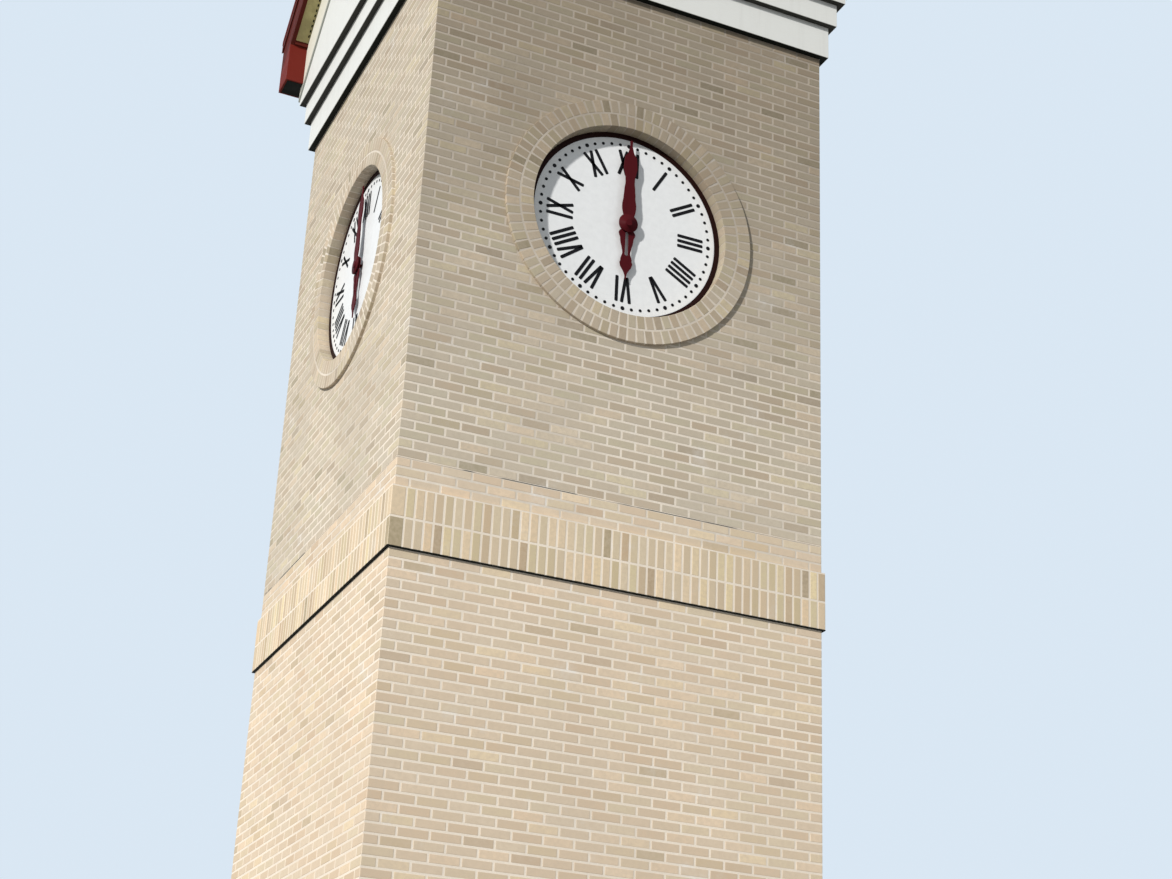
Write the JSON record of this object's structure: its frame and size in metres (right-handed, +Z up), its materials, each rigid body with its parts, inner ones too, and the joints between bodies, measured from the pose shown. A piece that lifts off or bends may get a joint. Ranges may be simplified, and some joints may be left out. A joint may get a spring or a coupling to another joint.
{
  "type": "clock tower",
  "caption": "Square buff brick clock tower with a projecting soldier belt, a recessed dial in a round brick surround on each face, stepped white cornice and gables under a red roof.",
  "frame": {"origin": "middle of the base, on the ground", "axes": "+Z up, the front dial faces -Y, the right dial faces +X"},
  "size_m": [3.8414, 3.8414, 13.9797],
  "materials": {
    "brick": "matt buff clay brick with pale mortar",
    "dark_metal": "near black drip edge",
    "white_paint": "off-white painted boards",
    "olive_paint": "matt olive soffit board",
    "red_metal": "satin dark red sheet metal",
    "burgundy": "satin burgundy paint",
    "dial_white": "satin white enamel"
  },
  "bodies": {
    "tower": {"lower_shaft": "brick", "soldier_belt": "brick", "clock_stage": "brick", "belt_drip": "dark_metal", "cornice_lower": "white_paint", "cornice_middle": "white_paint", "roof": "red_metal", "ridge_cap": "red_metal", "surround_front": "brick", "dial_front": "dial_white", "dial_rim_front": "burgundy", "gable_front": "white_paint", "rake_soffit_front": "olive_paint", "rake_fascia_front": "red_metal", "surround_right": "brick", "dial_right": "dial_white", "dial_rim_right": "burgundy", "gable_right": "white_paint", "rake_soffit_right": "olive_paint", "rake_fascia_right": "red_metal", "surround_back": "brick", "dial_back": "dial_white", "dial_rim_back": "burgundy", "gable_back": "white_paint", "rake_soffit_back": "olive_paint", "rake_fascia_back": "red_metal", "surround_left": "brick", "dial_left": "dial_white", "dial_rim_left": "burgundy", "gable_left": "white_paint", "rake_soffit_left": "olive_paint", "rake_fascia_left": "red_metal", "corner_eave_front_right": "red_metal", "corner_eave_back_right": "red_metal", "corner_eave_back_left": "red_metal", "corner_eave_front_left": "red_metal"},
    "minute_hand_front": {"minute_hand_front": "burgundy"},
    "minute_hand_right": {"minute_hand_right": "burgundy"},
    "minute_hand_back": {"minute_hand_back": "burgundy"},
    "minute_hand_left": {"minute_hand_left": "burgundy"},
    "hour_hand_front": {"hour_hand_front": "burgundy"},
    "hour_hand_right": {"hour_hand_right": "burgundy"},
    "hour_hand_back": {"hour_hand_back": "burgundy"},
    "hour_hand_left": {"hour_hand_left": "burgundy"}
  },
  "joints": [
    {"name": "minute_turn_front", "type": "hinge", "parent": "tower", "child": "minute_hand_front", "pos_m": [0, -1.56167, 9.12918], "axis": [0, 1, 0], "continuous": true},
    {"name": "hour_turn_front", "type": "hinge", "parent": "tower", "child": "hour_hand_front", "pos_m": [0, -1.54367, 9.12918], "axis": [0, 1, 0], "continuous": true},
    {"name": "minute_turn_right", "type": "hinge", "parent": "tower", "child": "minute_hand_right", "pos_m": [1.56167, 0, 9.12918], "axis": [-1, 0, 0], "continuous": true},
    {"name": "hour_turn_right", "type": "hinge", "parent": "tower", "child": "hour_hand_right", "pos_m": [1.54367, 0, 9.12918], "axis": [-1, 0, 0], "continuous": true},
    {"name": "minute_turn_back", "type": "hinge", "parent": "tower", "child": "minute_hand_back", "pos_m": [0, 1.56167, 9.12918], "axis": [0, -1, 0], "continuous": true},
    {"name": "hour_turn_back", "type": "hinge", "parent": "tower", "child": "hour_hand_back", "pos_m": [0, 1.54367, 9.12918], "axis": [0, -1, 0], "continuous": true},
    {"name": "minute_turn_left", "type": "hinge", "parent": "tower", "child": "minute_hand_left", "pos_m": [-1.56167, 0, 9.12918], "axis": [1, 0, 0], "continuous": true},
    {"name": "hour_turn_left", "type": "hinge", "parent": "tower", "child": "hour_hand_left", "pos_m": [-1.54367, 0, 9.12918], "axis": [1, 0, 0], "continuous": true}
  ],
  "couplings": [
    {"joint": "hour_turn_front", "follows": "minute_turn_front", "ratio": 0.083333},
    {"joint": "minute_turn_right", "follows": "minute_turn_front", "ratio": 1},
    {"joint": "hour_turn_right", "follows": "minute_turn_front", "ratio": 0.083333},
    {"joint": "minute_turn_back", "follows": "minute_turn_front", "ratio": 1},
    {"joint": "hour_turn_back", "follows": "minute_turn_front", "ratio": 0.083333},
    {"joint": "minute_turn_left", "follows": "minute_turn_front", "ratio": 1},
    {"joint": "hour_turn_left", "follows": "minute_turn_front", "ratio": 0.083333}
  ]
}
